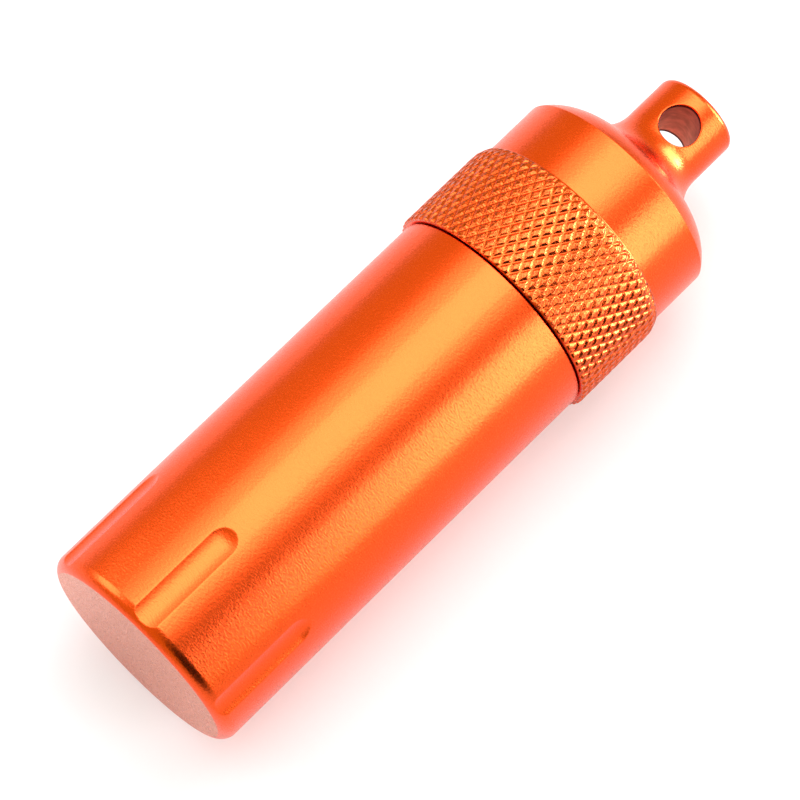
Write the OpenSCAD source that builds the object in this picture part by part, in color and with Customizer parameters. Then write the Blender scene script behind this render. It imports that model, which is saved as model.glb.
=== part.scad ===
// Pill holder: a fluted canister closed by a knurled screw cap with a lanyard lug.
// It stands on its base. The origin is the centre of the base, +Z runs along the
// axis to the lug, and the lanyard hole runs along Y. All lengths are millimetres.

/* [Canister] */
// Outside diameter of the canister
body_d = 27; // [26.6:0.1:32]
// Height of the shoulder over the base
body_h = 55.85; // [40:0.05:90]
// Thickness of the wall around the pills
wall_t = 3.5; // [3.3:0.05:6]
// Thickness of the floor under the pills
floor_t = 3; // [1.5:0.1:6]
// Radius between the floor and the wall, inside
floor_fillet_r = 1.5; // [0.5:0.1:4]
// How far the rounded base edge runs in across the base
base_edge_w = 1.2; // [0.8:0.1:1.6]
// How far the rounded base edge runs up the side
base_edge_h = 1.45; // [0.8:0.05:1.9]
// Radius of the rounded base edge
base_edge_r = 1.7; // [1.4:0.1:4]
// Bevel on the outer edge of the shoulder
shoulder_bevel = 0.2; // [0.1:0.05:0.4]

/* [Flutes] */
// Number of grip flutes around the foot of the canister
flute_count = 6; // [3:1:10]
// Width of a flute, measured across the side of the canister
flute_w = 3.3; // [2:0.1:4]
// Radius of the ball-nosed cutter that makes a flute
flute_cutter_r = 5; // [2.5:0.1:8]
// Height of a flute's rounded tip over the base
flute_h = 14.55; // [6:0.05:40]
// Angle of the first flute from the X axis
flute_turn = 24.5; // [0:0.5:60]

/* [Neck] */
// Height of the neck over the shoulder
neck_h = 10.45; // [8:0.05:15]
// Wall of the neck under the thread
neck_wall = 1.35; // [1:0.05:1.6]
// Depth of the thread that runs on the neck
thread_depth = 0.65; // [0.4:0.05:0.8]
// Bevel that leads the cap onto the neck
neck_bevel = 0.5; // [0.2:0.05:0.6]
// Bevel inside the mouth of the neck
mouth_bevel = 0.35; // [0.1:0.05:0.4]
// Height of the relief at the foot of the neck, where the O-ring sits
relief_h = 2; // [1.7:0.1:3]
// Depth of that relief
relief_depth = 0.3; // [0.1:0.05:0.5]

/* [Cap] */
// Gap between the shoulder and the closed cap
seam_gap = 0.15; // [0.1:0.05:0.5]
// How far the plain upper part of the cap lies inside the canister's side
cap_inset = 0.1; // [0:0.05:0.3]
// Height of the cap's crisp upper rim over its lower face
cap_rim_h = 20.1; // [17:0.05:30]
// Height of the domed shoulder over the rim
dome_rise = 3.3; // [2:0.1:4.5]
// Radius of the domed shoulder
dome_r = 7.15; // [5:0.05:10]
// Metal between the room in the cap and the top of the dome
cap_roof_t = 4.8; // [2.5:0.1:6]

/* [Lug] */
// Diameter of the lanyard lug
lug_d = 10.6; // [9:0.1:14]
// Height of the lug over the dome
lug_h = 11; // [9:0.1:16]
// Radius of the hollow fillet between the dome and the lug
lug_fillet_r = 4.95; // [2:0.05:6]
// Radius around the top edge of the lug
lug_edge_r = 0.75; // [0.3:0.05:1.5]
// Diameter of the hole for a lanyard or a split ring
lanyard_d = 4.9; // [3:0.1:6]
// Depth of that hole's centre under the top of the lug
lanyard_drop = 4.6; // [4:0.1:6]

/* [Knurl] */
// Height of the knurled band's top over the cap's lower face
band_h = 12.45; // [8:0.05:16]
// Number of teeth around the band
knurl_count = 66; // [50:1:90]
// How far the tooth tips stand outside the canister's side
knurl_proud = 0.65; // [0.55:0.05:1.2]
// Depth of the crossing grooves
knurl_depth = 0.3; // [0.2:0.05:0.55]
// Angle of the right-hand grooves to the axis
right_angle = 33; // [20:1:40]
// Angle of the left-hand grooves to the axis
left_angle = 30; // [20:1:40]
// Turn of the whole knurl about the axis
knurl_turn = 4.9; // [0:0.1:6]
// Plain lip under the knurl
knurl_foot = 0.1; // [0.1:0.05:0.5]
// Bevel on the lowest row of teeth
knurl_bevel = 0.33; // [0.1:0.01:0.4]
// Plain shelf above the top row of teeth
knurl_shelf = 0.12; // [0.1:0.02:0.3]

/* [Inside of the cap] */
// Depth of the wide mouth that takes the O-ring
seal_mouth_h = 2.2; // [2:0.1:4]
// Bevel that leads the O-ring into the mouth
seal_mouth_bevel = 0.4; // [0.2:0.05:0.5]
// How much narrower the room over the pills is than their hollow, on the radius
room_inset = 0.5; // [0.4:0.1:3]
// Radius at the top of that room
room_fillet_r = 1.5; // [0.5:0.1:3]

/* [Seals] */
// Thickness of the O-ring
o_ring_d = 1.5; // [1.2:0.1:1.6]
// Clearance between the O-ring and what it sits on
o_ring_fit = 0.02; // [0.01:0.01:0.05]
// Clearance between the O-ring and the cap
o_ring_gap = 0.08; // [0.05:0.01:0.2]
// Thickness of the flat seal in the cap
seal_t = 1; // [0.6:0.1:2]
// Clearance around the flat seal
seal_gap = 0.1; // [0.05:0.05:0.3]
// How far the flat seal reaches over the mouth of the neck
seal_lip = 0.3; // [0.1:0.05:0.35]
// Clearance of the thread on its crests
thread_gap = 0.2; // [0.1:0.05:0.3]

/* [Hidden] */
$fn = 96;
// Distance that a cut runs past the faces it opens
overrun = 2;
anodised = "#F0701F";
rubber = "#26262A";

body_r = body_d / 2;
bore_r = body_r - wall_t;
base_r = body_r - base_edge_w;
neck_r = bore_r + neck_wall;
relief_r = neck_r - relief_depth;
neck_top = body_h + neck_h;

cap_base = body_h + seam_gap;
cap_r = body_r - cap_inset;
cap_bore_r = neck_r + thread_depth + thread_gap;
ceiling = neck_top + seal_t - cap_base;
room_r = bore_r - room_inset;
dome_top = cap_rim_h + dome_rise;
room_top = dome_top - cap_roof_t;
lug_r = lug_d / 2;
lug_top = dome_top + lug_h;

o_ring_r = relief_r + o_ring_fit + o_ring_d / 2;
seal_mouth_r = o_ring_r + o_ring_d / 2 + o_ring_gap;

// A square with its far upper corner rounded, drawn from the axis
module rounded_block(width, height, corner_r) {
    square([width, height - corner_r]);
    square([width - corner_r, height]);
    translate([width - corner_r, height - corner_r]) circle(corner_r);
}

// The canister's outside

// The rounded base edge is one arc from the base to the side. Its centre lies on
// the line that halves the chord between the arc's two ends.
module canister_outline() {
    chord = norm([base_edge_w, base_edge_h]);
    to_centre = sqrt(base_edge_r * base_edge_r - chord * chord / 4);
    centre_r = base_r + base_edge_w / 2 - to_centre * base_edge_h / chord;
    centre_z = base_edge_h / 2 + to_centre * base_edge_w / chord;
    square([base_r, base_edge_h]);
    intersection() {
        translate([centre_r, centre_z]) circle(base_edge_r);
        square([body_r, base_edge_h]);
    }
    polygon([
        [0, base_edge_h],
        [body_r, base_edge_h],
        [body_r, body_h - shoulder_bevel],
        [body_r - shoulder_bevel, body_h],
        [0, body_h]
    ]);
    square([relief_r, neck_top - neck_bevel]);
    polygon([
        [0, body_h + relief_h],
        [relief_r, body_h + relief_h],
        [neck_r, body_h + relief_h + relief_depth],
        [neck_r, neck_top - neck_bevel],
        [neck_r - neck_bevel, neck_top],
        [0, neck_top]
    ]);
}

// The hollow for the pills, with a round corner at the floor
module pill_hollow() {
    translate([0, neck_top]) mirror([0, 1]) rounded_block(bore_r, neck_top - floor_t, floor_fillet_r);
    polygon([
        [0, neck_top - mouth_bevel],
        [bore_r, neck_top - mouth_bevel],
        [bore_r + mouth_bevel + overrun, neck_top + overrun],
        [0, neck_top + overrun]
    ]);
}

// One flute: the path of a ball-nosed cutter that runs up from under the base.
// The cutter's axis is where its circle meets the side at half the flute's width.
module flute() {
    half_w = flute_w / 2;
    axis_r = sqrt(body_r * body_r - half_w * half_w) + sqrt(flute_cutter_r * flute_cutter_r - half_w * half_w);
    tip_h = sqrt(flute_cutter_r * flute_cutter_r - pow(axis_r - body_r, 2));
    translate([axis_r, 0, -overrun]) cylinder(r = flute_cutter_r, h = flute_h - tip_h + overrun);
    translate([axis_r, 0, flute_h - tip_h]) sphere(flute_cutter_r);
}

module canister() {
    color(anodised) difference() {
        rotate_extrude() canister_outline();
        rotate_extrude() pill_hollow();
        for (i = [0 : flute_count - 1])
            rotate(flute_turn + i * 360 / flute_count) flute();
    }
}

// The seals

module neck_o_ring() {
    color(rubber)
        translate([0, 0, body_h + o_ring_fit + o_ring_d / 2])
            rotate_extrude() translate([o_ring_r, 0]) circle(o_ring_d / 2);
}

module cap_seal() {
    color(rubber)
        translate([0, 0, neck_top])
            rotate_extrude() translate([bore_r - seal_lip, 0])
                square([cap_bore_r - seal_gap - bore_r + seal_lip, seal_t]);
}

// The cap, drawn from its own lower face

// Plain barrel, domed shoulder, hollow fillet and lug. The dome's circle crosses the
// side of the barrel at the rim, and the fillet touches the dome and the lug's side.
module cap_outline() {
    dome_z = dome_top - dome_r;
    dome_x = cap_r - sqrt(dome_r * dome_r - pow(dome_r - dome_rise, 2));
    fillet_x = lug_r + lug_fillet_r;
    apart = dome_r + lug_fillet_r;
    fillet_z = dome_z + sqrt(apart * apart - pow(fillet_x - dome_x, 2));
    touch_x = dome_x + (fillet_x - dome_x) * dome_r / apart;
    square([cap_r, dome_z]);
    intersection() {
        translate([dome_x, dome_z]) circle(dome_r);
        square([cap_r, dome_top]);
    }
    difference() {
        square([touch_x, fillet_z]);
        translate([fillet_x, fillet_z]) circle(lug_fillet_r);
    }
    rounded_block(lug_r, lug_top, lug_edge_r);
}

// Mouth for the O-ring, bore for the thread up to the flat seal, and the room over it
module cap_hollow() {
    polygon([
        [0, -overrun],
        [seal_mouth_r + seal_mouth_bevel + overrun, -overrun],
        [seal_mouth_r, seal_mouth_bevel],
        [seal_mouth_r, seal_mouth_h],
        [cap_bore_r, seal_mouth_h + seal_mouth_r - cap_bore_r],
        [cap_bore_r, ceiling],
        [0, ceiling]
    ]);
    rounded_block(room_r, room_top, room_fillet_r);
}

// Diamond knurl, as a drum. Right-hand and left-hand V grooves cross, so every second
// point of each row is a crossing at the bottom of the grooves and the points between
// are tooth tips, and the next row is shifted by one. The two angles are not quite the
// same, as the two wheels of a knurling tool leave them, so the rows also drift a
// little. Each square of the grid is split along the groove that crosses it.
module knurled_drum() {
    tip_r = body_r + knurl_proud;
    groove_r = tip_r - knurl_depth;
    columns = 2 * knurl_count;
    slopes = tan(right_angle) + tan(left_angle);
    drift = (tan(right_angle) - tan(left_angle)) / slopes;
    wanted_row_h = 2 * PI * tip_r / knurl_count / slopes;
    rows = max(2, round((band_h - knurl_foot) / wanted_row_h));
    row_h = (band_h - knurl_foot) / rows;

    // Radius that the bevel, the shelf or the tooth tips leave in a row
    function row_limit(row) =
        row == 0 ? tip_r - knurl_bevel :
        row == rows ? cap_r + knurl_shelf : tip_r;
    function is_groove(row, column) = (row + column) % 2 == 0;
    function point_r(row, column) = min(row_limit(row), is_groove(row, column) ? groove_r : tip_r);
    function at(row, column) = row * columns + column % columns;

    points = [
        for (row = [0 : rows]) for (column = [0 : columns - 1])
            let (
                angle = knurl_turn + (column + row * drift) * 360 / columns,
                r = point_r(row, column)
            )
            [r * cos(angle), r * sin(angle), knurl_foot + row * row_h]
    ];
    facets = [
        for (row = [0 : rows - 1]) for (column = [0 : columns - 1])
            let (
                low = at(row, column), low_next = at(row, column + 1),
                high = at(row + 1, column), high_next = at(row + 1, column + 1)
            )
            each is_groove(row, column)
                ? [[high_next, low_next, low], [high, high_next, low]]
                : [[high, low_next, low], [high, high_next, low_next]]
    ];
    ends = [
        [for (column = [0 : columns - 1]) at(0, column)],
        [for (column = [columns - 1 : -1 : 0]) at(rows, column)]
    ];
    polyhedron(points, concat(facets, ends));
}

module screw_cap() {
    color(anodised) translate([0, 0, cap_base]) difference() {
        union() {
            rotate_extrude() cap_outline();
            knurled_drum();
        }
        rotate_extrude() cap_hollow();
        translate([0, lug_r + overrun, lug_top - lanyard_drop])
            rotate([90, 0, 0]) cylinder(d = lanyard_d, h = lug_d + 2 * overrun);
    }
}

canister();
neck_o_ring();
cap_seal();
screw_cap();
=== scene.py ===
"""Pill holder: a fluted anodised canister closed by a knurled screw cap with a lug.

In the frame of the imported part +Z runs up the axis of the case to the lug, the lanyard
hole runs along Y and the base stands on z = 0. Sizes are in mm, and metres in a mesh.
"""

import logging
import math
from dataclasses import dataclass, field
from enum import Enum

import bmesh
import bpy
import numpy as np
from mathutils import Matrix, Vector

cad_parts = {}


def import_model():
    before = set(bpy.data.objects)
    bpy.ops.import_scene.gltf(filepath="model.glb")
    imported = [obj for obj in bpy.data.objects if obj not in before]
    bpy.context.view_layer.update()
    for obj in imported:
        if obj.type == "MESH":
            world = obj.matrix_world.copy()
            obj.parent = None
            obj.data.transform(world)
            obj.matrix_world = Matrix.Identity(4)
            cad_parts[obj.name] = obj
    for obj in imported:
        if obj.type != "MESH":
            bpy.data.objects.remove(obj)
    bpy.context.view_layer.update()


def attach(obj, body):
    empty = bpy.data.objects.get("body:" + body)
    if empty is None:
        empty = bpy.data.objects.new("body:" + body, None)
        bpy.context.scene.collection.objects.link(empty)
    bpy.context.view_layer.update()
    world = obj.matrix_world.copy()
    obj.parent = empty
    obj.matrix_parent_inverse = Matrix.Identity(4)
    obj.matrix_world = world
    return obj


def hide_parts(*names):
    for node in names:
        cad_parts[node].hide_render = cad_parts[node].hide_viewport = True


Array = np.ndarray
Pair = tuple[float, float]
Triple = tuple[float, float, float]
Material = bpy.types.Material
Node = bpy.types.Node
Object = bpy.types.Object
Socket = bpy.types.NodeSocket

LOG = logging.getLogger("pill_holder")
MM = 0.001
LIFT = "lift"  # the knurl's attribute: height over the bottoms of its grooves
ARC_POINTS = 7  # points on a rounded corner
EDGE_GAP = 0.04  # from a corner to the first point of a straight run, in mm
WELD = 2e-7  # points closer than this are one, in metres
SLIVER = 1e-8  # edges shorter than this are closed, in metres
THREAD_ROW = 0.075  # spacing of the rows that carry a thread, in mm
NOISE_RANGE = (0.3, 0.7)  # where most values of a noise lie
UP = Vector((0, 0, 1))


class Body(Enum):
    """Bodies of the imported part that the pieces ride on."""

    CANISTER = "canister"
    SEAL = "cap_seal"
    CAP = "screw_cap"


# Shapes


def smooth_step(x: Array) -> Array:
    """Rises from 0 to 1 as x does, level at both ends: 3x^2 - 2x^3."""
    t = np.clip(x, 0.0, 1.0)
    return t * t * (3.0 - 2.0 * t)


def soft_rise(x: Array, width: float) -> Array:
    """A slope that starts gently: sqrt(x^2 + width^2) - width."""
    return np.sqrt(x * x + width * width) - width


def soft_min(a: Array, b: Array, width: float) -> Array:
    """The lower of a and b with a round crease: less n^2 width / 4, n = 1 - |a - b| / width."""
    near = np.maximum(width - np.abs(a - b), 0.0) / width
    return np.minimum(a, b) - near * near * width / 4.0


def unit(v: Array) -> Array:
    """A vector shortened or stretched to length 1."""
    return v / np.linalg.norm(v)


def pairs(r: Array, z: Array) -> Array:
    """Radii and heights, spread to one shape, as (r, z) pairs."""
    return np.stack(np.broadcast_arrays(r, z), -1)


def full_turn(count: int) -> Array:
    """Angles once round the axis in even steps, in radians."""
    return np.linspace(0, 2 * math.pi, count + 1)[:-1]


def arc(centre: Pair, radius: float, start: float, end: float, count: int) -> Array:
    """Points (r, z) of an arc: centre + radius (cos a, sin a), a from start to end."""
    a = np.linspace(start, end, count)
    return np.stack([centre[0] + radius * np.cos(a), centre[1] + radius * np.sin(a)], 1)


def rounded_path(knots: list[Triple], step: float) -> Array:
    """A profile through corners that are rounded with tangent arcs.

    At a corner of radius c and turn t the arc starts c tan(t / 2) before the corner and
    ends as far after it. Straight runs also get a point close to each end, so that
    smooth shading stays in the arcs.

    Args:
        knots: (r, z, radius) of each corner in mm.
        step: Widest spacing on the straight runs in mm.

    Returns:
        Points (r, z).
    """
    path: list[Array] = [np.array([knots[0][:2]])]
    for k in range(1, len(knots)):
        here, radius = np.array(knots[k][:2]), knots[k][2]
        run = here[None]
        if k + 1 < len(knots) and radius > 0:
            before, after = (unit(np.array(knots[j][:2]) - here) for j in (k - 1, k + 1))
            half_turn = (math.pi - math.acos(float(np.clip(before @ after, -1, 1)))) / 2
            across, along = unit(before + after), unit(after - before)
            centre = here + across * radius / math.cos(half_turn)
            a = np.linspace(-1, 1, ARC_POINTS)[:, None] * half_turn
            run = centre + radius * (along * np.sin(a) - across * np.cos(a))
        start, end = path[-1][-1], run[0]
        length = float(np.linalg.norm(end - start))
        if length > 1e-9:
            gap = min(EDGE_GAP, length / 4) / length
            even = np.linspace(0, 1, max(1, math.ceil(length / step)) + 1)[1:-1]
            t = np.unique(np.concatenate([[gap, 1 - gap], even]))
            path.append(start + (end - start) * t[:, None])
        path.append(run)
    return np.concatenate(path)


def turned(path: Array, angles: Array) -> Array:
    """A profile carried round the Z axis: (r cos a, r sin a, z).

    Args:
        path: Profile (r, z), (n, 2), or (n, m, 2) where it changes round the axis.
        angles: Angles in radians, (m,) or (n, m).

    Returns:
        Grid of points, (n, m, 3).
    """
    if path.ndim == 2:
        path = path[:, None, :]
    r, z, a = np.broadcast_arrays(path[..., 0], path[..., 1], angles)
    return np.stack([r * np.cos(a), r * np.sin(a), z], -1)


def ring_of(numbers: Array) -> Array:
    """A grid with its first column once more at its end, which closes it."""
    return np.concatenate([numbers, numbers[:, :1]], 1)


def square_corners(numbers: Array) -> list[Array]:
    """The four corners of every square of a grid, in order round the square."""
    return [numbers[:-1, :-1], numbers[:-1, 1:], numbers[1:, 1:], numbers[1:, :-1]]


@dataclass
class Shell:
    """A piece's points and faces, gathered patch by patch, in mm."""

    points: list[Array] = field(default_factory=list)
    faces: list[list[int]] = field(default_factory=list)

    def add(self, points: Array) -> Array:
        """Adds points of any grid shape and returns their numbers in that shape."""
        first, count = sum(map(len, self.points)), points[..., 0].size
        self.points.append(points.reshape(-1, 3))
        return np.arange(first, first + count).reshape(points.shape[:-1])

    def join(self, corner_numbers: list[Array]) -> None:
        """Adds faces, given the numbers of their first, second and further corners."""
        self.faces.extend(np.stack(corner_numbers, -1).reshape(-1, len(corner_numbers)).tolist())

    def grid(self, points: Array, closed: bool = True) -> Array:
        """Adds a grid of points and a face for each of its squares.

        Args:
            points: (rows, columns, 3).
            closed: Whether the last column joins the first.

        Returns:
            The points' numbers, (rows, columns).
        """
        numbers = self.add(points)
        self.join(square_corners(ring_of(numbers) if closed else numbers))
        return numbers

    def thin_out(self, fine: Array, coarse: Array) -> None:
        """Joins a ring to one of fewer points with one face for each coarse side.

        Args:
            fine: Numbers of the fine ring.
            coarse: Numbers of the coarse one, beside every k-th fine point.
        """
        k = len(fine) // len(coarse)
        start = np.arange(len(coarse)) * k
        rows = [fine[(start + i) % len(fine)] for i in range(k + 1)]
        self.join([*rows, np.roll(coarse, -1), coarse])

    def to_object(self, name: str) -> Object:
        """Makes the mesh, closes its seams and poles, and turns its faces outwards.

        Args:
            name: Name of the mesh and its object.

        Returns:
            The object.
        """
        mesh = bpy.data.meshes.new(name)
        mesh.from_pydata((np.concatenate(self.points) * MM).tolist(), [], self.faces)
        work = bmesh.new()
        work.from_mesh(mesh)
        bmesh.ops.remove_doubles(work, verts=work.verts, dist=WELD)
        bmesh.ops.dissolve_degenerate(work, edges=work.edges, dist=SLIVER)
        bmesh.ops.recalc_face_normals(work, faces=work.faces)
        work.to_mesh(mesh)
        work.free()
        mesh.polygons.foreach_set("use_smooth", np.ones(len(mesh.polygons), bool))
        mesh.update()
        return in_scene(mesh)


def in_scene(data: bpy.types.ID, place: Vector | None = None, *axes: Vector) -> Object:
    """Puts new data in the scene.

    Args:
        data: A mesh, lamp or camera.
        place: Where it stands; a mesh is left at the origin.
        *axes: Directions of its own X, Y and Z there.

    Returns:
        The object.
    """
    made = bpy.data.objects.new(data.name, data)
    if place is not None:
        made.matrix_world = Matrix.Translation(place) @ Matrix(axes).transposed().to_4x4()
    bpy.context.scene.collection.objects.link(made)
    return made


@dataclass(frozen=True)
class ScrewThread:
    """A right-hand thread with flat crests, cut on a neck or in a bore."""

    pitch: float = 1.5
    crest_w: float = 0.25
    crest_round: float = 0.08
    height: float = 0.65
    flank: float = math.radians(30)
    shift: float = 0.0

    def ridge(self, angle: Array, z: Array, low: float, high: float) -> Array:
        """How far the ridge stands up.

        Its middle climbs one pitch each turn. From its crest it falls away with the
        slope of its flanks, and it runs out over one pitch at both ends.

        Args:
            angle: Angles in radians.
            z: Heights in mm.
            low: Where the thread starts.
            high: Where it ends.

        Returns:
            Millimetres from 0 to `height`.
        """
        turn = z / self.pitch - angle / (2 * math.pi) + self.shift
        off = np.abs(turn - np.round(turn)) * self.pitch
        drop = np.maximum(off - self.crest_w / 2, 0.0) / math.tan(self.flank)
        full = self.height * smooth_step((z - low) / self.pitch)
        full = full * smooth_step((high - z) / self.pitch)
        return np.maximum(full - soft_rise(drop, self.crest_round), 0.0)


# Finishes


def scaled(colour: Triple, share: float) -> Triple:
    """A colour with each of its parts times the share."""
    return tuple(c * share for c in colour)


class NodeSheet:
    """The node tree of a material or the world, with short calls for its nodes."""

    def __init__(self, owner: str | bpy.types.World) -> None:
        """Starts on the tree of a new material of that name, or of a world, and empties it."""
        if isinstance(owner, str):
            owner = bpy.data.materials.new(owner)
        owner.use_nodes = True
        self.owner, self.tree = owner, owner.node_tree
        self.tree.nodes.clear()

    def node(
        self, kind: str, *ordered: object, operation: str | None = None, **named: object
    ) -> Node:
        """Adds a node.

        Args:
            kind: Its type, less the ShaderNode that all start with.
            *ordered: Values for its first inputs, or sockets to link to them.
            operation: Its operation, where it has one.
            **named: The same by the inputs' names, with _ for each space.

        Returns:
            The node.
        """
        made = self.tree.nodes.new("ShaderNode" + kind)
        if operation:
            made.operation = operation
        by_name = [(made.inputs[key.replace("_", " ")], named[key]) for key in named]
        for target, value in [*zip(made.inputs, ordered), *by_name]:
            if isinstance(value, Socket):
                self.tree.links.new(value, target)
            else:
                target.default_value = value
        return made

    def noise(self, place: Socket, scale: float, detail: float) -> Socket:
        """Noise of that many cells a metre; returns its height."""
        made = self.node("TexNoise", Vector=place, Scale=scale, Detail=detail)
        return made.outputs["Fac"]

    def length(self, **parts: Socket) -> Socket:
        """Length of the vector with those X, Y and Z."""
        whole = self.node("CombineXYZ", **parts).outputs[0]
        return self.node("VectorMath", whole, operation="LENGTH").outputs["Value"]

    def along(self, place: Socket, axis: Vector) -> Socket:
        """How far a place lies along an axis: the two multiplied as vectors."""
        made = self.node("VectorMath", place, axis, operation="DOT_PRODUCT")
        return made.outputs["Value"]

    def span(
        self, value: Socket, low: float, high: float, to_low: float = 0.0, to_high: float = 1.0
    ) -> Socket:
        """Maps low..high to to_low..to_high, held at both ends."""
        made = self.node("MapRange", value, low, high, to_low, to_high)
        return made.outputs["Result"]

    def ramp(self, value: Socket, reach: Pair, *colours: Triple) -> Socket:
        """Goes from one colour to another as the value rises over its reach."""
        made = self.node("ValToRGB", value)
        for stop, place, colour in zip(made.color_ramp.elements, reach, colours):
            stop.position, stop.color = place, (*colour, 1.0)
        return made.outputs["Color"]

    def mixed(self, share: Socket, under: Triple, over: Socket) -> Socket:
        """Goes from one colour to another.

        Args:
            share: Share of the second colour, 0 to 1.
            under: The first colour.
            over: The second one.

        Returns:
            The colour.
        """
        made = self.tree.nodes.new("ShaderNodeMix")
        made.data_type = "RGBA"
        self.tree.links.new(share, made.inputs["Factor"])
        first, second = [s for s in made.inputs if s.type == "RGBA"]
        first.default_value = (*under, 1.0)
        self.tree.links.new(over, second)
        return [s for s in made.outputs if s.type == "RGBA"][0]

    def bump(self, height: Socket, depth: float, **under: Socket) -> Socket:
        """Relief of that depth in mm, over another one if it is given as Normal."""
        made = self.node("Bump", Height=height, Distance=depth * MM, Strength=1.0, **under)
        return made.outputs["Normal"]

    def either(self, share: Socket, low: Node, high: Node) -> Node:
        """Goes from one shader to another as the share rises to 1."""
        return self.node("MixShader", share, low.outputs[0], high.outputs[0])

    def ending(self, shader: Node) -> Material:
        """Joins the shader to the output and returns the material."""
        self.node("OutputMaterial", shader.outputs[0])
        return self.owner

    def surface(self, tint: Socket, rough: Socket, relief: Socket, **named: object) -> Material:
        """Ends the tree with the surface shader of that colour, roughness and normal."""
        named.update(Base_Color=tint, Roughness=rough, Normal=relief)
        return self.ending(self.node("BsdfPrincipled", **named))


@dataclass(frozen=True)
class AnodisedFinish:
    """Orange anodised aluminium, blasted to a fine satin grain before it was dyed.

    The grain's size and all depths are in mm, `clouds` and `rings` in cells a metre.
    """

    name: str
    colour: Triple = (0.95, 0.095, 0.014)
    fade: float = 0.93
    clouds: float = 220.0
    roughness: float = 0.265
    rough_shares: Pair = (0.94, 1.07)
    coat: float = 0.05
    coat_roughness: float = 0.3
    coat_ior: float = 1.6
    grain: float = 0.36
    grain_depth: float = 0.02
    stretch: float = 2.1
    speckle: float = 0.02
    speckle_range: Pair = (0.42, 0.56)
    rings: float = 5200.0
    lathe_depth: float = 0.0006
    # Painted shade: colour of the knurl's grooves, and a share of it for its end faces
    painted_shade: Triple | None = None
    groove_range: Pair = (0.0, 0.8)
    end_range: Pair = (-1.0, -0.3)
    painted_end_shade: float = 0.12

    def material(self) -> Material:
        """Builds the node material.

        The dye's colour wanders a little. Blasting leaves a grain in relief, roughness
        and colour, and the lathe faint rings, which follow radius and height alone. By
        its own attribute the knurl gets painted shade: darker in its grooves and much
        darker on its two end faces, where shade falls.

        Returns:
            The material.
        """
        sheet = NodeSheet(self.name)
        place = sheet.node("TexCoord").outputs["Object"]
        parts = sheet.node("SeparateXYZ", place).outputs
        radius = sheet.length(X=parts["X"], Y=parts["Y"])
        ringed = sheet.node("CombineXYZ", X=radius, Z=parts["Z"]).outputs[0]
        short = sheet.node("Mapping", place, Scale=(1.0, 1.0, self.stretch))
        grain = sheet.noise(short.outputs[0], 1.0 / (self.grain * MM), detail=1.0)
        cloud = sheet.noise(place, self.clouds, detail=3.0)
        lathe = sheet.noise(ringed, self.rings, detail=1.0)

        tint = sheet.ramp(cloud, NOISE_RANGE, scaled(self.colour, self.fade), self.colour)
        flecks = sheet.span(grain, *self.speckle_range)
        tint = sheet.mixed(flecks, scaled(self.colour, 1 - self.speckle), tint)
        # Painted shade: darker colour in the knurl's grooves, darker still on its end faces
        if self.painted_shade:
            lift = sheet.node("Attribute")
            lift.attribute_name = LIFT
            groove_shade_share, end_shade_share = (
                sheet.span(lift.outputs["Fac"], *reach)
                for reach in (self.groove_range, self.end_range)
            )
            tint = sheet.mixed(groove_shade_share, self.painted_shade, tint)
            tint = sheet.mixed(end_shade_share, scaled(self.painted_shade, self.painted_end_shade), tint)
        rough = (self.roughness * share for share in self.rough_shares)
        relief = sheet.bump(lathe, self.lathe_depth)
        return sheet.surface(
            tint,
            sheet.span(grain, *NOISE_RANGE, *rough),
            sheet.bump(grain, self.grain_depth, Normal=relief),
            Metallic=1.0,
            Coat_Weight=self.coat,
            Coat_Roughness=self.coat_roughness,
            Coat_IOR=self.coat_ior,
        )


@dataclass(frozen=True)
class DrilledFinish:
    """The bore of the lanyard hole: drilled, not blasted, so torn, and darker partly as painted
    shade.

    Its mouths, painted dark as shade, start at `mouth_r` from the axis of the case and fade over
    `mouth_h`.
    """

    name: str
    # colour and the reflection tint `edge`: partly the drilled finish, partly painted shade inside
    # the hole
    colour: Triple = (0.74, 0.28, 0.19)
    edge: Triple = (0.78, 0.5, 0.42)
    # painted shade at both mouths of the bore: colour and reflection tint
    mouth_shade: Triple = (0.08, 0.014, 0.01)
    mouth_shade_tint: Triple = (0.12, 0.03, 0.025)
    mouth_r: float = 4.85
    mouth_h: float = 0.45
    fade: float = 0.7
    clouds: float = 900.0
    cloud_range: Pair = (0.35, 0.65)
    marks: float = 3600.0
    mark_depth: float = 0.004
    flatten: float = 0.25
    roughness: Pair = (0.47, 0.54)
    metallic: float = 0.8

    def material(self) -> Material:
        """Builds the node material: marks stretched across the bore's length.

        The drill runs along Y, so the marks wander quickly along Y and slowly round the
        bore. Both mouths are darkened with painted shade, in colour and in reflection tint.

        Returns:
            The material.
        """
        sheet = NodeSheet(self.name)
        place = sheet.node("TexCoord").outputs["Object"]
        short = sheet.node("Mapping", place, Scale=(self.flatten, 1.0, self.flatten))
        marks = sheet.noise(short.outputs[0], self.marks, detail=3.0)
        cloud = sheet.noise(place, self.clouds, detail=3.0)
        tint = sheet.ramp(cloud, self.cloud_range, scaled(self.colour, self.fade), self.colour)
        parts = sheet.node("SeparateXYZ", place).outputs
        radius = sheet.length(X=parts["X"], Y=parts["Y"])
        # painted shade: colour and reflection tint turn dark at both mouths of the bore
        within = sheet.span(radius, self.mouth_r * MM, (self.mouth_r - self.mouth_h) * MM)
        return sheet.surface(
            sheet.mixed(within, self.mouth_shade, tint),
            sheet.span(marks, *NOISE_RANGE, *self.roughness),
            sheet.bump(marks, self.mark_depth),
            Metallic=self.metallic,
            Specular_Tint=sheet.ramp(within, (0.0, 1.0), self.mouth_shade_tint, self.edge),
        )


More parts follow.
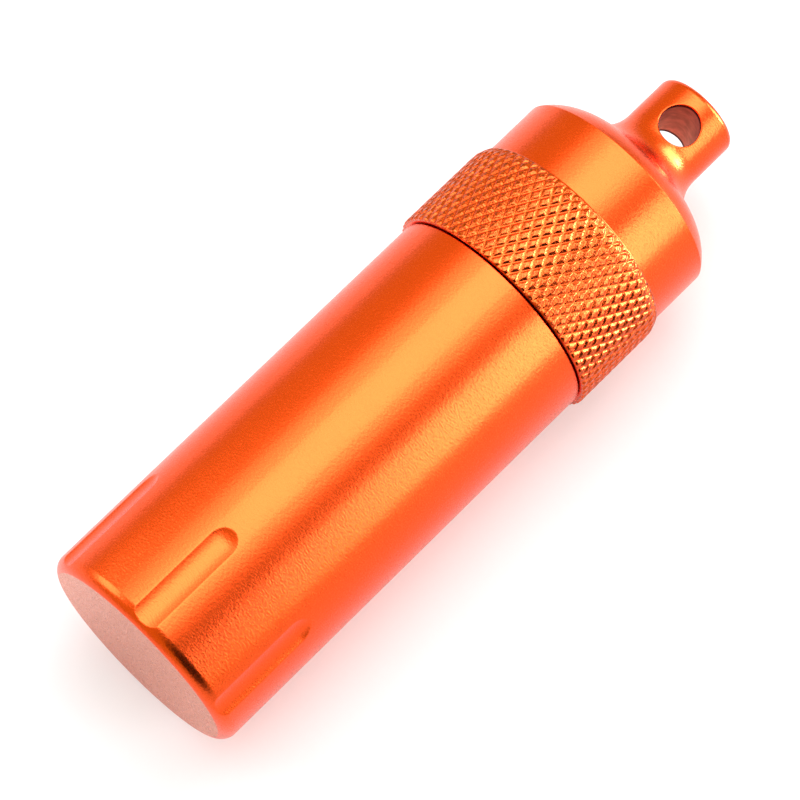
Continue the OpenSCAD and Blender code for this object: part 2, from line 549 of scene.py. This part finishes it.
@dataclass(frozen=True)
class RubberFinish:
    """Moulded black rubber with a faint bloom and a matt skin."""

    name: str
    colour: Triple = (0.012, 0.012, 0.014)
    bloom: float = 2.2
    blooms: float = 600.0
    bloom_range: Pair = (0.35, 0.75)
    pits: float = 9000.0
    pit_depth: float = 0.002
    roughness: Pair = (0.45, 0.7)

    def material(self) -> Material:
        """Builds the node material: a cloudy bloom over a finely pitted skin.

        Returns:
            The material.
        """
        sheet = NodeSheet(self.name)
        place = sheet.node("TexCoord").outputs["Object"]
        bloom = sheet.noise(place, self.blooms, detail=4.0)
        pits = sheet.noise(place, self.pits, detail=2.0)
        return sheet.surface(
            sheet.ramp(bloom, self.bloom_range, self.colour, scaled(self.colour, self.bloom)),
            sheet.span(bloom, *NOISE_RANGE, *self.roughness),
            sheet.bump(pits, self.pit_depth),
            Metallic=0.0,
        )


def settle(piece: Object, finish: Material, body: Body, node: str) -> None:
    """Dresses a piece, lets it ride on its body and stand for its CAD node.

    Args:
        piece: The new object.
        finish: Its material.
        body: Body that carries it.
        node: CAD node that it stands for.
    """
    piece.data.materials.append(finish)
    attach(piece, body.value)
    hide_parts(node)
    LOG.info("%s: %d faces, on %s", piece.name, len(piece.data.polygons), body.value)


def places(items: bpy.types.bpy_prop_collection, key: str) -> Array:
    """Places of a mesh's points or faces in mm, as three rows: x, y and z."""
    found = np.zeros(len(items) * 3)
    items.foreach_get(key, found)
    return found.reshape(-1, 3).T / MM


# The canister


@dataclass
class Canister:
    """The fluted tube that holds the pills, with its threaded neck."""

    body_r: float = 13.5
    body_h: float = 55.85
    bore_r: float = 10.0
    floor_t: float = 3.0
    floor_fillet: float = 1.5
    base_r: float = 12.3
    base_edge_h: float = 1.45
    base_edge_r: float = 1.7
    shoulder_bevel: float = 0.1
    neck_r: float = 11.35
    relief_r: float = 11.05
    relief_top: float = 57.85
    neck_top: float = 66.3
    flute_count: int = 6
    flute_half_w: float = 1.65
    flute_cutter_r: float = 5.0
    flute_h: float = 14.55
    flute_turn: float = math.radians(24.5)
    flute_edge: float = 0.04
    flute_row: float = 0.09
    thread: ScrewThread = ScrewThread()

    def flute_depth(self, angle: Array, z: Array) -> Array:
        """Radius that the flutes leave: where a ray from the axis meets the cutter.

        The cutter is a bar with a ball's end, at a distance that gives the flute its
        width. The ray at angle a from the flute meets a circle of radius c, centred at
        distance d, at d cos a - sqrt(c^2 - d^2 sin^2 a). Where it misses, the radius is
        left large.

        Args:
            angle: Angles in radians.
            z: Heights in mm.

        Returns:
            Radii in mm.
        """
        radii = (self.body_r, self.flute_cutter_r)
        axis = sum(math.sqrt(r**2 - self.flute_half_w**2) for r in radii)
        sector = 2 * math.pi / self.flute_count
        off = (angle - self.flute_turn + sector / 2) % sector - sector / 2
        tip = math.sqrt(self.flute_cutter_r**2 - (axis - self.body_r) ** 2)
        above = np.maximum(z - (self.flute_h - tip), 0.0)
        square = self.flute_cutter_r**2 - above**2 - (axis * np.sin(off)) ** 2
        hit = axis * np.cos(off) - np.sqrt(np.maximum(square, 0.0))
        return np.where(square > 0, hit, self.body_r + 5)

    def columns(self) -> Array:
        """Spaces the fine columns: close together over each flute, wider between.

        Returns:
            Their angles in radians.
        """
        sector = 2 * math.pi / self.flute_count
        reach = math.asin((self.flute_half_w + 0.3) / self.body_r)
        over = np.linspace(-reach, reach, 61)[:-1]
        between = np.linspace(reach, sector - reach, 21)[:-1]
        one = np.concatenate([over, between]) + self.flute_turn
        return np.concatenate([one + k * sector for k in range(self.flute_count)])

    def base_edge(self) -> Array:
        """Rounds the edge of the base: one arc of given radius through its two ends.

        Returns:
            Points (r, z), from the base to the side.
        """
        rise, run = self.base_edge_h, self.body_r - self.base_r
        chord = math.hypot(rise, run)
        reach = math.sqrt(self.base_edge_r**2 - chord**2 / 4)
        centre = (self.base_r + run / 2 - reach * rise / chord, rise / 2 + reach * run / chord)
        start = math.atan2(-centre[1], self.base_r - centre[0])
        end = math.atan2(rise - centre[1], self.body_r - centre[0])
        return arc(centre, self.base_edge_r, start, end, 17)

    def foot(self) -> Array:
        """Profile of the fluted foot.

        Returns:
            Points (r, z), from the middle of the base to over the flutes.
        """
        base = rounded_path([(0.0, 0.0, 0), (self.base_r - 0.05, 0.0, 0)], 2.0)
        rows = [
            [self.base_edge_h + 0.05, self.base_edge_h + 0.4],
            np.arange(2.5, 10.0, 1.5),
            np.arange(10.6, self.flute_h + 0.45, self.flute_row),
        ]
        side = pairs(self.body_r, np.concatenate(rows))
        return np.concatenate([base, self.base_edge(), side])

    def side(self) -> Array:
        """Profile of the plain side and the shoulder, up to the foot of the thread."""
        knots = [
            (self.body_r, self.flute_h + 0.7, 0),
            (self.body_r, self.body_h - self.shoulder_bevel, 0.08),
            (self.body_r - self.shoulder_bevel, self.body_h, 0.08),
            (self.relief_r, self.body_h, 0.1),
            (self.relief_r, self.relief_top, 0.1),
            (self.neck_r, self.relief_top + 0.3, 0.05),
            (self.neck_r, self.relief_top + 0.6, 0),
        ]
        return rounded_path(knots, 2.6)

    def inside(self) -> Array:
        """Profile over the rim of the neck and down to the middle of the floor."""
        knots = [
            (self.neck_r, self.neck_top - 0.53, 0),
            (self.neck_r, self.neck_top - 0.5, 0.03),
            (self.neck_r - 0.5, self.neck_top, 0.08),
            (self.bore_r + 0.35, self.neck_top, 0.08),
            (self.bore_r, self.neck_top - 0.35, 0.1),
            (self.bore_r, self.floor_t, self.floor_fillet),
            (0.0, self.floor_t, 0),
        ]
        return rounded_path(knots, 2.2)

    def build(self) -> Object:
        """Builds the whole turning.

        The outside is the profile carried round the axis, cut back to the flutes where
        they lie deeper, except in the middle of the base. The neck is a cylinder plus
        the thread's ridge.

        Returns:
            The canister.
        """
        shell = Shell()
        fine = self.columns()
        coarse = fine[::2]
        foot = self.foot()
        r = soft_min(foot[:, :1], self.flute_depth(fine, foot[:, 1:]), self.flute_edge)
        base = foot[:, 0] < self.base_r - 1
        r[base] = foot[base][:, :1]
        low = shell.grid(turned(pairs(r, foot[:, 1:]), fine))
        high = shell.grid(turned(self.side(), coarse))
        shell.thin_out(low[-1], high[0])

        z = np.arange(self.relief_top + 0.65, self.neck_top - 0.55, THREAD_ROW)[:, None]
        ridge = self.thread.ridge(coarse, z, self.relief_top + 0.8, self.neck_top - 0.7)
        neck = shell.grid(turned(pairs(self.neck_r + ridge, z), coarse))
        top = shell.grid(turned(self.inside(), coarse))
        shell.thin_out(high[-1], neck[0])
        shell.thin_out(neck[-1], top[0])
        return shell.to_object("canister_shell")

    def make(self, finish: Material, faced: Material) -> None:
        """Builds and dresses the canister.

        Args:
            finish: Material of the blasted faces.
            faced: Material of the base's flat face.
        """
        piece = self.build()
        settle(piece, finish, Body.CANISTER, "canister")
        piece.data.materials.append(faced)
        z = places(piece.data.polygons, "center")[2]
        piece.data.polygons.foreach_set("material_index", (z < 0.01).astype(np.int32))


# The cap


@dataclass
class KnurlBand:
    """The knurled grip of the cap: right-hand and left-hand V grooves that cross."""

    tip_r: float = 14.15
    depth: float = 0.19
    count: int = 66
    row_h: float = 1.1027
    drift: float = 0.0584
    low: float = 56.02
    high: float = 68.4
    foot_r: float = 13.35
    bevel: float = 0.06
    bevel_h: float = 0.1
    crown_h: float = 1.6
    crown_drop: float = 0.42
    edge_h: float = 0.3
    turn: float = math.radians(0.138)
    start: float = 56.363
    groove_share: float = 0.5
    groove_round: float = 0.12
    crest_round: float = 0.2
    splits: int = 8

    def blank(self, z: Array) -> Array:
        """Radius of the blank: bevelled below, and above a crown, which falls with x^2."""
        low = self.bevel * np.maximum(1 - (z - self.low) / self.bevel_h, 0.0)
        past = np.maximum((z - self.high) / self.crown_h + 1, 0.0)
        return self.tip_r - low - self.crown_drop * past**2

    def rows(self) -> tuple[Array, Array]:
        """Rows of the lattice, split finely and held between the band's two ends.

        Returns:
            Row numbers, counted in whole rows of teeth, and their heights in mm.
        """
        low, high = ((end - self.start) / self.row_h for end in (self.low, self.high))
        first, last = math.floor(low) - 1, math.ceil(high) + 1
        row = np.arange(first * self.splits, last * self.splits + 1) / self.splits
        z = self.start + row * self.row_h
        keep = (z > self.low + 0.02) & (z < self.high - 0.02)
        heights = np.concatenate([[self.low], z[keep], [self.high]])
        return np.concatenate([[low], row[keep], [high]]), heights

    def height(self, row: Array, column: Array) -> Array:
        """Height over the groove bottoms.

        Right-hand grooves lie where (column - row) / 2 is whole and left-hand ones where
        (column + row) / 2 is. The height rises with the distance to the nearer groove,
        from a small round at its bottom to the wide flat of the tooth.

        Args:
            row: Row numbers.
            column: Column numbers, in half teeth.

        Returns:
            Shares of the depth, 0 to 1.
        """
        hands = ((column - row) / 2, (column + row) / 2)
        off = np.minimum(*(np.abs(hand - np.round(hand)) for hand in hands)) * 2
        lifted = soft_rise(off / self.groove_share, self.groove_round)
        return soft_min(lifted, np.ones_like(lifted), self.crest_round)

    def build(self) -> Object:
        """Builds the band as a closed ring.

        Its outside is a grid of lattice rows and columns, at the blank's radius less the
        groove's depth. The grooves run out close to the top. Each square is split along
        the groove that crosses it. A wall in the cap's metal closes the ring.

        Returns:
            The band.
        """
        shell = Shell()
        row, z = self.rows()
        column = np.arange(2 * self.count * self.splits) / self.splits
        rr, cc = np.meshgrid(row, column, indexing="ij")
        angle = self.turn + (cc + rr * self.drift) * math.pi / self.count
        run_out = smooth_step((self.high - z) / self.edge_h)[:, None]
        groove = self.depth * (1 - self.height(rr, cc)) * run_out
        outer = shell.add(turned(pairs(self.blank(z)[:, None] - groove, z[:, None]), angle))
        a, b, c, d = square_corners(ring_of(outer))
        middle_row = (row[:-1] + row[1:])[:, None] / 2
        middle_column = column + 0.5 / self.splits
        odd = (np.floor(middle_row) + np.floor(middle_column)) % 2 > 0.5
        shell.join([a, b, np.where(odd, d, c)])
        shell.join([np.where(odd, b, a), c, d])

        wall = [
            (self.foot_r + 0.1, self.low),
            (self.foot_r - 0.25, self.low + 0.03),
            (self.foot_r - 0.25, self.high - 0.1),
            (self.foot_r - 0.05, self.high),
        ]
        inner = shell.grid(turned(np.array(wall), angle[[0, 0, -1, -1]]))
        for end in (0, -1):
            shell.join(square_corners(ring_of(np.stack([outer[end], inner[end]]))))
        band = shell.to_object("knurled_band")
        self.mark_lift(band.data)
        return band

    def mark_lift(self, mesh: bpy.types.Mesh) -> None:
        """Writes each point's height over the grooves' bottoms, as a share of their depth.

        It is 1 on the crests, 0 in the grooves and less on the band's two end faces.
        """
        x, y, z = places(mesh.vertices, "co")
        lift = 1 - (self.blank(z) - np.hypot(x, y)) / self.depth
        found = mesh.attributes.new(LIFT, "FLOAT", "POINT")
        found.data.foreach_set("value", lift.astype(np.float32))


@dataclass
class ScrewCap:
    """The screw cap: threaded inside, domed, with a lug and its cross hole."""

    base: float = 56.0
    barrel_r: float = 13.4
    lip_r: float = 13.75
    foot_r: float = 13.66
    foot_fillet: float = 0.25
    rim_z: float = 76.1
    dome_top: float = 79.4
    dome_r: float = 7.15
    lug_r: float = 5.3
    lug_top: float = 90.4
    lug_edge: float = 0.75
    lug_fillet: float = 4.95
    hole_r: float = 2.45
    hole_z: float = 85.8
    hole_edge: float = 0.18
    mouth_r: float = 12.65
    bore_r: float = 12.2
    ceiling: float = 67.3
    room_r: float = 9.5
    room_top: float = 74.6
    window: float = 3.6
    window_columns: int = 64
    column_count: int = 240
    thread: ScrewThread = ScrewThread(shift=0.5)
    knurl: KnurlBand = field(default_factory=KnurlBand)

    def dome_centre(self) -> Pair:
        """Centre (r, z) of the dome's arc, which passes through the rim."""
        z = self.dome_top - self.dome_r
        return self.barrel_r - math.sqrt(self.dome_r**2 - (self.rim_z - z) ** 2), z

    def fillet_centre(self) -> Pair:
        """Centre (r, z) of the hollow fillet, which touches the dome and the lug's side."""
        x, z = self.dome_centre()
        r = self.lug_r + self.lug_fillet
        return r, z + math.sqrt((self.dome_r + self.lug_fillet) ** 2 - (r - x) ** 2)

    def lug_side(self, z: Array) -> Array:
        """Radius of the fillet's circle below its centre, and of the lug's side above it."""
        r, centre_z = self.fillet_centre()
        under = np.minimum(z - centre_z, 0.0)
        return r - np.sqrt(self.lug_fillet**2 - under**2)

    def inside(self) -> Array:
        """Profile from the middle of the room's roof to the thread's top."""
        knots = [
            (0.0, self.room_top, 0),
            (self.room_r, self.room_top, 1.5),
            (self.room_r, self.ceiling, 0.1),
            (self.bore_r, self.ceiling, 0.05),
            (self.bore_r, self.ceiling - 0.2, 0),
        ]
        return rounded_path(knots, 2.0)

    def outside(self) -> Array:
        """Profile of the mouth, lip, knurl's seat, barrel, dome and fillet.

        Returns:
            Points (r, z), from the foot of the thread up to the window.
        """
        x, z = self.dome_centre()
        fx, fz = self.fillet_centre()
        touch = math.atan2(fz - z, fx - x)
        start = math.atan2(self.rim_z - z, self.barrel_r - x)
        dome = arc((x, z), self.dome_r, start, touch, 34)[1:]
        end = math.asin((self.hole_z - self.window - fz) / self.lug_fillet)
        fillet = arc((fx, fz), self.lug_fillet, math.pi + touch, math.pi - end, 16)[1:]
        base, low, high = self.base, self.knurl.low, self.knurl.high
        knots = [
            (self.bore_r, base + 2.7, 0),
            (self.bore_r, base + 2.65, 0.05),
            (self.mouth_r, base + 2.2, 0.1),
            (self.mouth_r, base + 0.4, 0.1),
            (self.mouth_r + 0.4, base, 0.05),
            (self.lip_r, base, 0.03),
            (self.lip_r, low + 0.03, 0.02),
            (self.barrel_r - 0.05, low + 0.25, 0.05),
            (self.barrel_r - 0.05, high - 0.3, 0.03),
            (self.foot_r, high - 0.1, 0.03),
            (self.foot_r, high + 0.02, 0.03),
            (self.barrel_r, high + 0.02, self.foot_fillet),
            (self.barrel_r, self.rim_z, 0.08),
        ]
        knots += [(float(r), float(h), 0) for r, h in np.concatenate([dome, fillet])]
        return rounded_path(knots, 1.6)

    def top(self) -> Array:
        """Profile from the window's top edge over the lug to the axis."""
        knots = [
            (self.lug_r, self.hole_z + self.window, 0),
            (self.lug_r, self.lug_top, self.lug_edge),
            (0.0, self.lug_top, 0),
        ]
        return rounded_path(knots, 1.2)

    def window_patch(self) -> Array:
        """The lug's surface at the back, from the square window in to the bore.

        Points on the lug's side run straight from the window's edge, in angle and
        height, to a circle round the hole. Then a quarter round of radius e turns them
        into the bore: at its angle a they are e sin a nearer the hole's axis and
        e (1 - cos a) deeper.

        Returns:
            Grid of points, (rows, points round the window, 3).
        """
        n = self.window_columns
        half = n * math.pi / self.column_count
        s, one = np.linspace(-1, 1, n + 1)[:-1], np.ones(n)
        across, up = np.concatenate([(s, -one), (one, s), (-s, one), (-one, -s)], 1)
        outer_a, outer_z = across * half, self.hole_z + up * self.window
        phi = np.arctan2(up * self.window, across * half * self.lug_r)
        wide = self.hole_r + self.hole_edge
        ring_z = self.hole_z + wide * np.sin(phi)
        ring_a = np.arcsin(wide * np.cos(phi) / self.lug_side(ring_z))
        t = (1 - (1 - np.linspace(0, 1, 17)) ** 1.5)[:, None]
        z = outer_z + (ring_z - outer_z) * t
        a = outer_a + (ring_a - outer_a) * t
        r = self.lug_side(z)
        flat = np.stack([r * np.sin(a), r * np.cos(a), z], -1)

        turn = np.linspace(0, math.pi / 2, 8)[1:, None]
        near = self.hole_r + self.hole_edge * (1 - np.sin(turn))
        x, z = near * np.cos(phi), self.hole_z + near * np.sin(phi)
        y = np.sqrt(self.lug_side(z) ** 2 - x * x) - self.hole_edge * (1 - np.cos(turn))
        return np.concatenate([flat, np.stack([x, y, z], -1)])

    def build(self) -> Object:
        """Builds the turning with its cross hole.

        The profile is carried round the axis, but for a square window at each end of the
        hole. A patch fills each, and a tube joins the patches.

        Returns:
            The cap without its knurl.
        """
        shell = Shell()
        n, w = self.column_count, self.window_columns
        angles = math.pi / 2 + (np.arange(n) - w / 2) * 2 * math.pi / n
        roof = shell.grid(turned(self.inside(), angles))
        z = np.arange(self.ceiling - 0.25, self.base + 2.75, -THREAD_ROW)[:, None]
        ridge = self.thread.ridge(angles, z, self.base + 3.0, self.ceiling - 0.5)
        bore = shell.grid(turned(pairs(self.bore_r - ridge, z), angles))
        skin = shell.grid(turned(self.outside(), angles))
        shell.thin_out(roof[-1], bore[0])
        shell.thin_out(bore[-1], skin[0])

        levels = self.hole_z + np.linspace(-1, 1, w + 1) * self.window
        side = pairs(self.lug_side(levels), levels)
        for start in (w, w + n // 2):
            between = np.arange(start, start + n // 2 - w + 1) % n
            shell.grid(turned(side, angles[between]), closed=False)
        shell.grid(turned(self.top(), angles))

        back = self.window_patch()
        front = back * (1, -1, 1)
        shell.grid(back)
        shell.grid(front)
        shell.grid(back[-1] + (front[-1] - back[-1]) * np.linspace(0, 1, 13)[:, None, None])
        return shell.to_object("cap_shell")

    def make(self, finish: Material, rolled: Material, drilled: Material) -> None:
        """Builds and dresses the cap and its knurl.

        Args:
            finish: Material of the turned faces.
            rolled: Material of the knurl.
            drilled: Material of the lanyard hole's faces, told by how near its axis is.
        """
        pieces = [self.build(), self.knurl.build()]
        for piece, material in zip(pieces, (finish, rolled)):
            settle(piece, material, Body.CAP, "screw_cap")
        mesh = pieces[0].data
        mesh.materials.append(drilled)
        x, _, z = places(mesh.polygons, "center")
        bored = np.hypot(x, z - self.hole_z) < self.hole_r + 0.02
        mesh.polygons.foreach_set("material_index", bored.astype(np.int32))


# The seals


@dataclass
class Seals:
    """The O-ring at the foot of the neck and the flat seal in the cap."""

    ring_r: float = 11.82
    ring_t: float = 0.75
    ring_z: float = 56.62
    flash: float = 0.015
    flash_angle: float = 0.06
    flat_in: float = 9.7
    flat_out: float = 12.1
    flat_low: float = 66.3
    flat_t: float = 1.0
    flat_edge: float = 0.12

    def o_ring(self) -> Object:
        """A circle carried round the axis, `flash` wider where the mould parts.

        Returns:
            The ring.
        """
        shell = Shell()
        a = full_turn(48)
        line = np.exp(-((np.sin(a) / self.flash_angle) ** 2)) * (np.cos(a) > 0)
        r = self.ring_t - self.flash + self.flash * line
        path = pairs(self.ring_r + r * np.cos(a), self.ring_z + r * np.sin(a))
        shell.grid(turned(np.concatenate([path, path[:1]]), full_turn(192)))
        return shell.to_object("o_ring")

    def flat_seal(self) -> Object:
        """A rectangle with small rounds on its edges, carried round the axis.

        Returns:
            The ring.
        """
        shell = Shell()
        low, high, edge = self.flat_low, self.flat_low + self.flat_t, self.flat_edge
        knots = [(self.flat_out, low, edge), (self.flat_out, high, edge)]
        knots += [(self.flat_in, high, edge), (self.flat_in, low, edge)]
        middle = ((self.flat_in + self.flat_out) / 2, low, 0)
        path = rounded_path([middle, *knots, middle], 0.5)
        shell.grid(turned(path, full_turn(144)))
        return shell.to_object("flat_seal")

    def make(self, finish: Material) -> None:
        """Builds both seals and dresses them in that material."""
        settle(self.o_ring(), finish, Body.CANISTER, "neck_o_ring")
        settle(self.flat_seal(), finish, Body.SEAL, "cap_seal")


# The studio


@dataclass(frozen=True)
class Softbox:
    """A rectangular lamp that faces the case.

    Azimuth, round the case's axis from the camera, and elevation, towards the lug, are
    in degrees, sizes in metres. `mirrored` ones show in the metal, `spread` ones light
    the paper.
    """

    name: str
    azimuth: float
    elevation: float
    distance: float
    width: float
    length: float
    radiance: float
    mirrored: bool = True
    spread: bool = True


@dataclass
class Studio:
    """Camera, white table, lamps and surroundings of the photograph.

    The case lies on the table, so the table stands upright in this frame. `eye` is in
    units of `scale` mm, and `middle` is half the case's length in metres.
    """

    scale: float = 13.5
    turn: float = math.radians(4.68)
    eye: Triple = (0.0, -31.3874, -5.119)
    yaw: float = -0.0003
    pitch: float = 0.2547
    roll: float = 0.8014
    lens: float = 176.457
    sensor: float = 36.0
    clip: Pair = (0.01, 20.0)
    middle: float = 0.045
    table_r: float = 14.15
    table_size: float = 2.4
    paper_colour: Triple = (0.68, 0.66, 0.48)
    table_glow: float = 0.38
    floor_glow: float = 0.75
    glow_mirrored: float = 0.6
    world_level: float = 0.25
    mirror_level: float = 0.76
    mirror_colour: Triple = (1.0, 0.93, 0.2)
    lamp_colour: Triple = (1.0, 1.0, 1.45)
    dark_level: float = 0.02
    dark_centre: Pair = (0.2, 0.42)
    dark_half: Pair = (0.66, 0.58)
    dark_core: float = 0.62
    dark_edge: Pair = (0.15, -0.05)
    dark_behind: float = 1.5
    boxes: tuple[Softbox, ...] = (
        Softbox("overhead_softbox", -20.5, 15.0, 0.36, 0.23, 0.28, 2.7),
        Softbox("overhead_scrim", -24.0, 15.0, 0.36, 0.42, 0.32, 1.95),
        Softbox("side_strip", 51.5, 19.4, 0.47, 0.31, 0.12, 7.6),
        Softbox("low_softbox", -70.0, -21.5, 0.36, 0.18, 0.24, 4.1),
        Softbox("back_softbox", 37.0, 56.0, 0.5, 0.3, 0.25, 12.0, spread=False),
        Softbox("rim_lamp", 68.0, 51.0, 0.5, 0.14, 0.11, 38.0, spread=False),
        Softbox("right_fill", 92.0, 12.0, 0.5, 0.24, 0.3, 1.25, spread=False),
        Softbox("base_fill", -30.0, -50.0, 0.5, 0.3, 0.3, 1.2, mirrored=False),
    )

    def turned_vector(self, v: Triple) -> Vector:
        """A direction given from the camera's side, in the frame of the part."""
        return Matrix.Rotation(self.turn, 3, "Z") @ Vector(v)

    def towards(self, azimuth: float, elevation: float) -> Vector:
        """Direction at an azimuth from the camera and an elevation, in degrees."""
        a, e = math.radians(azimuth), math.radians(elevation)
        v = (math.sin(a) * math.cos(e), -math.cos(a) * math.cos(e), math.sin(e))
        return self.turned_vector(v)

    def axes(self) -> tuple[Vector, Vector, Vector]:
        """Turns the camera's yaw, pitch and roll into directions.

        Returns:
            Right, up and forward.
        """
        cos_y, sin_y, cos_p = math.cos(self.yaw), math.sin(self.yaw), math.cos(self.pitch)
        forward = Vector((sin_y * cos_p, cos_y * cos_p, math.sin(self.pitch)))
        right = Vector((cos_y, -sin_y, 0.0))
        up = right.cross(forward)
        c, s = math.cos(self.roll), math.sin(self.roll)
        rolled = (right * c + up * s, up * c - right * s, forward)
        return tuple(self.turned_vector(v) for v in rolled)

    def upright(self) -> Vector:
        """The way up from the table: square to the image's horizontal and the case."""
        up = self.axes()[0].cross(UP).normalized()
        return up if up.y < 0 else -up

    def camera(self) -> None:
        """Sets the photograph's viewpoint and lens."""
        right, up, forward = self.axes()
        data = bpy.data.cameras.new("camera")
        data.lens = self.lens
        data.sensor_width = self.sensor
        data.clip_start, data.clip_end = self.clip
        place = self.turned_vector(self.eye) * (self.scale * MM)
        bpy.context.scene.camera = in_scene(data, place, right, up, -forward)

    def paper(self, name: str, glow: float) -> Material:
        """White paper that is seen from its front alone.

        It is matt and keeps the shadow. A glow for the camera and in reflections alone
        brings its colour up to the white of the photograph.

        Args:
            name: Name of the material.
            glow: Strength of the glow.

        Returns:
            The material.
        """
        sheet = NodeSheet(name)
        seen = sheet.node("LightPath").outputs
        mirrored = sheet.span(seen["Is Glossy Ray"], 0.0, 1.0, to_high=self.glow_mirrored)
        shows = sheet.node("Math", seen["Is Camera Ray"], mirrored, operation="MAXIMUM")
        none, light = (sheet.node("Emission", Strength=s) for s in (0.0, glow))
        light = sheet.either(shows.outputs[0], none, light)
        matt = sheet.node("BsdfDiffuse", Color=(*self.paper_colour, 1.0))
        both = sheet.node("AddShader", matt.outputs[0], light.outputs[0])
        back = sheet.node("NewGeometry").outputs["Backfacing"]
        return sheet.ending(sheet.either(back, both, sheet.node("BsdfTransparent")))

    def flat_sheet(self, name: str, centre: Vector, normal: Vector, glow: float) -> Object:
        """A flat square of paper, a grid of two parameters across its normal.

        Args:
            name: Name of the object.
            centre: Its middle, in metres.
            normal: The way that its front faces.
            glow: Strength of its glow.

        Returns:
            The object, at the origin.
        """
        across = normal.orthogonal().normalized()
        along = normal.cross(across)
        s = np.linspace(-0.5, 0.5, 3) * self.table_size
        u, v = np.meshgrid(s, s, indexing="ij")
        points = np.array(centre) + u[..., None] * np.array(across) + v[..., None] * np.array(along)
        quads = np.stack(square_corners(np.arange(9).reshape(3, 3).T), -1)
        mesh = bpy.data.meshes.new(name)
        mesh.from_pydata(points.reshape(-1, 3).tolist(), [], quads.reshape(-1, 4).tolist())
        mesh.materials.append(self.paper(name + "_paper", glow))
        made = in_scene(mesh)
        return made

    def stage(self) -> None:
        """Lays the table along the case's lowest line, and a floor for the camera alone."""
        up = self.upright()
        middle = UP * self.middle - up * (self.table_r * MM)
        self.flat_sheet("table", middle, up, self.table_glow)
        floor = self.flat_sheet("floor", UP * 0, UP, self.floor_glow)
        floor.visible_diffuse = floor.visible_glossy = False
        floor.visible_transmission = floor.visible_shadow = False

    def lamp(self, box: Softbox) -> None:
        """Hangs one softbox, square to the line from its middle to the case's.

        Its power is radiance times pi times its area, as for any flat, even lamp.

        Args:
            box: The softbox.
        """
        data = bpy.data.lights.new(box.name, "AREA")
        data.shape = "RECTANGLE"
        data.size, data.size_y = box.width, box.length
        data.color = self.lamp_colour
        data.energy = box.radiance * math.pi * box.width * box.length
        facing = self.towards(box.azimuth, box.elevation)
        side = UP.cross(facing).normalized()
        place = UP * self.middle + facing * box.distance
        made = in_scene(data, place, side, facing.cross(side), facing)
        made.visible_glossy, made.visible_diffuse = box.mirrored, box.spread

    def world(self) -> None:
        """Even pale surroundings, pure white where the camera sees them.

        In reflections they fade to dark in an oval in front, where the photographer
        stands. Its middle and half-widths are shares to the side and up of a unit
        direction. It fades from `dark_core` outwards, and towards the back past
        `dark_edge`.
        """
        world = bpy.data.worlds.new("surroundings")
        bpy.context.scene.world = world
        sheet = NodeSheet(world)
        place = sheet.node("TexCoord").outputs["Generated"]
        side, up = self.axes()[0], self.upright()
        front = side.cross(up)
        front = front if front.z < 0 else -front
        off = {"Z": sheet.span(sheet.along(place, front), *self.dark_edge, 0.0, self.dark_behind)}
        for part, axis, centre, half in zip("XY", (side, up), self.dark_centre, self.dark_half):
            share = sheet.along(place, axis)
            off[part] = sheet.span(share, centre - half, centre + half, -1.0, 1.0)
        levels = (self.dark_level, self.mirror_level)
        level = sheet.span(sheet.length(**off), self.dark_core, 1.0, *levels)
        level.node.interpolation_type = "SMOOTHSTEP"

        white = (1.0, 1.0, 1.0, 1.0)
        room = sheet.node("Background", white, self.world_level)
        mirrored = sheet.node("Background", (*self.mirror_colour, 1.0), level)
        seen = sheet.node("LightPath").outputs
        shown = sheet.either(seen["Is Glossy Ray"], room, mirrored)
        backdrop = sheet.node("Background", white, 1.0)
        whole = sheet.either(seen["Is Camera Ray"], shown, backdrop)
        sheet.node("OutputWorld", whole.outputs[0])

    def build(self) -> None:
        """Sets up camera, stage, lamps and colour view."""
        self.camera()
        self.world()
        self.stage()
        for box in self.boxes:
            self.lamp(box)
        bpy.context.scene.view_settings.view_transform = "Standard"
        LOG.info("studio: %d softboxes", len(self.boxes))


def main() -> None:
    """Builds the studio and the pieces in order."""
    logging.basicConfig(level=logging.INFO, format="%(name)s: %(message)s")
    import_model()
    Studio().build()
    metal = AnodisedFinish("anodised_orange").material()
    rolled = AnodisedFinish(
        "anodised_knurl",
        colour=(0.87, 0.118, 0.02),
        roughness=0.23,
        grain=0.24,
        grain_depth=0.045,
        stretch=1.0,
        speckle=0.5,
        # painted shade for the knurl's grooves and end faces
        painted_shade=(0.8, 0.095, 0.014),
    ).material()
    rubber = RubberFinish("black_rubber").material()
    faced = AnodisedFinish(
        "anodised_base",
        colour=(0.77, 0.155, 0.03),
        coat=0.33,
        grain_depth=0.0,
        speckle=0.0,
        lathe_depth=0.00015,
    ).material()
    Canister().make(metal, faced)
    ScrewCap().make(metal, rolled, DrilledFinish("drilled_bore").material())
    Seals().make(rubber)


if __name__ == "__main__":
    main()
